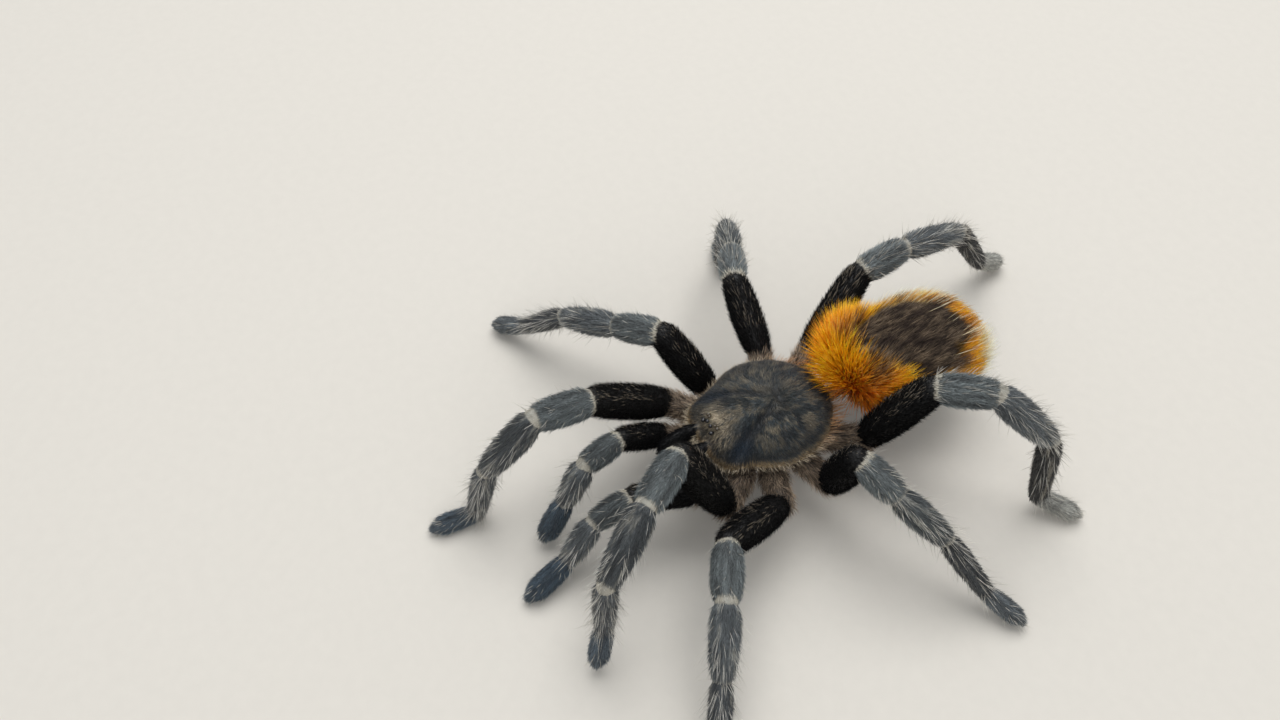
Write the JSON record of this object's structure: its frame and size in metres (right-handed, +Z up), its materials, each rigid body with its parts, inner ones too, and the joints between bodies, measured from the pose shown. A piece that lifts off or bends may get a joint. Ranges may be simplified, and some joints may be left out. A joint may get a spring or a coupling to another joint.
{
  "type": "tarantula",
  "caption": "Life-size still model of a dark highland tarantula with an orange and yellow haired abdomen, walking stance.",
  "frame": {"origin": "middle of the floor area that the animal covers, at the height of the soles", "axes": "+Z up, -Y the way the head points, +X the animal's own left"},
  "size_m": [0.0714, 0.0878, 0.0221],
  "materials": {
    "carapace_down": "dark grey shell under short blue-grey and olive down, with a tan fringe",
    "abdomen_hair": "long orange and yellow hair round a blackish-brown patch on the back",
    "leg_base_fuzz": "beige and grey-brown fuzz on coxae and trochanters",
    "femur_velvet": "velvet black hair with a few pale streaks",
    "shank_coat": "dusty blue-grey hair with pale joint rings and long pale bristles",
    "foot_coat": "dark grey hair, whitish bristles, soft grey soles",
    "underside_velvet": "blackish-brown velvet on sternum, waist and spinnerets",
    "fang": "polished dark horn",
    "eye": "wet black lens"
  },
  "bodies": {
    "root": {"carapace": "carapace_down", "sternum": "underside_velvet", "pedicel": "underside_velvet", "left_chelicera": "femur_velvet", "left_fang": "fang", "left_eye_front_middle": "eye", "left_eye_front_side": "eye", "left_eye_rear_middle": "eye", "left_eye_rear_side": "eye", "right_chelicera": "femur_velvet", "right_fang": "fang", "right_eye_front_middle": "eye", "right_eye_front_side": "eye", "right_eye_rear_middle": "eye", "right_eye_rear_side": "eye", "abdomen": "abdomen_hair", "left_spinneret": "underside_velvet", "left_leg_1_coxa_trochanter": "leg_base_fuzz", "left_leg_1_femur": "femur_velvet", "left_leg_1_patella_tibia": "shank_coat", "left_leg_1_metatarsus_tarsus": "foot_coat", "left_leg_2_coxa_trochanter": "leg_base_fuzz", "left_leg_2_femur": "femur_velvet", "left_leg_2_patella_tibia": "shank_coat", "left_leg_2_metatarsus_tarsus": "foot_coat", "left_leg_3_coxa_trochanter": "leg_base_fuzz", "left_leg_3_femur": "femur_velvet", "left_leg_3_patella_tibia": "shank_coat", "left_leg_3_metatarsus_tarsus": "foot_coat", "left_leg_4_coxa_trochanter": "leg_base_fuzz", "left_leg_4_femur": "femur_velvet", "left_leg_4_patella_tibia": "shank_coat", "left_leg_4_metatarsus_tarsus": "foot_coat", "left_palp_coxa_trochanter": "leg_base_fuzz", "left_palp_femur": "femur_velvet", "left_palp_patella_tibia": "shank_coat", "left_palp_tarsus": "foot_coat", "right_spinneret": "underside_velvet", "right_leg_1_coxa_trochanter": "leg_base_fuzz", "right_leg_1_femur": "femur_velvet", "right_leg_1_patella_tibia": "shank_coat", "right_leg_1_metatarsus_tarsus": "foot_coat", "right_leg_2_coxa_trochanter": "leg_base_fuzz", "right_leg_2_femur": "femur_velvet", "right_leg_2_patella_tibia": "shank_coat", "right_leg_2_metatarsus_tarsus": "foot_coat", "right_leg_3_coxa_trochanter": "leg_base_fuzz", "right_leg_3_femur": "femur_velvet", "right_leg_3_patella_tibia": "shank_coat", "right_leg_3_metatarsus_tarsus": "foot_coat", "right_leg_4_coxa_trochanter": "leg_base_fuzz", "right_leg_4_femur": "femur_velvet", "right_leg_4_patella_tibia": "shank_coat", "right_leg_4_metatarsus_tarsus": "foot_coat", "right_palp_coxa_trochanter": "leg_base_fuzz", "right_palp_femur": "femur_velvet", "right_palp_patella_tibia": "shank_coat", "right_palp_tarsus": "foot_coat"}
  },
  "joints": []
}
